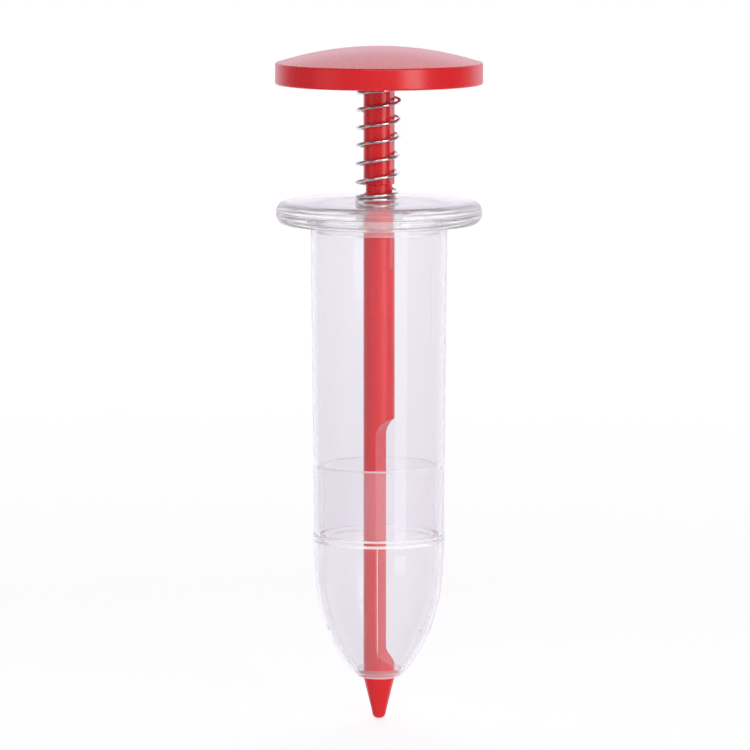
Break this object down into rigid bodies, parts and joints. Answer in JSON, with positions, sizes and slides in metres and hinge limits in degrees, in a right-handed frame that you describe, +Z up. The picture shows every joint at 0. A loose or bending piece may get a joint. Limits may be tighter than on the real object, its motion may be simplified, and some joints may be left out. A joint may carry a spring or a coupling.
{
  "type": "hand seed sower",
  "caption": "Plunger-type hand seed sower: clear seed chamber with finger flange and lid, clear ogive nose, and a sprung red thumb plunger with a grooved rod and pointed tip.",
  "frame": {"origin": "on the tool's axis at the lowest point of the dibber tip, which is the bottom centre of its box", "axes": "+Z up along the tool's axis from tip to thumb button; the seed groove and the guide flat face 20 degrees from +X towards -Y; -Y is the front"},
  "size_m": [0.0458, 0.0458, 0.1501],
  "materials": {
    "red_plastic": "moulded, semi-gloss, slight orange peel",
    "clear_plastic": "clear moulded, glossy",
    "spring_steel": "drawn wire"
  },
  "bodies": {
    "barrel": {"seed_barrel": "clear_plastic", "nose_cone": "clear_plastic"},
    "lid": {"filler_lid": "clear_plastic", "return_spring": "spring_steel"},
    "plunger": {"thumb_knob": "red_plastic", "plunger_rod": "red_plastic"}
  },
  "joints": [
    {"name": "lid_lift", "type": "slide", "parent": "barrel", "child": "lid", "axis": [0, 0, 1], "range_m": [0, 0.12]},
    {"name": "plunger_press", "type": "slide", "parent": "lid", "child": "plunger", "axis": [0, 0, -1], "range_m": [0, 0.018], "stiffness_N_per_m": 600, "springref_m": -0.0002, "deforming": ["return_spring"]}
  ]
}
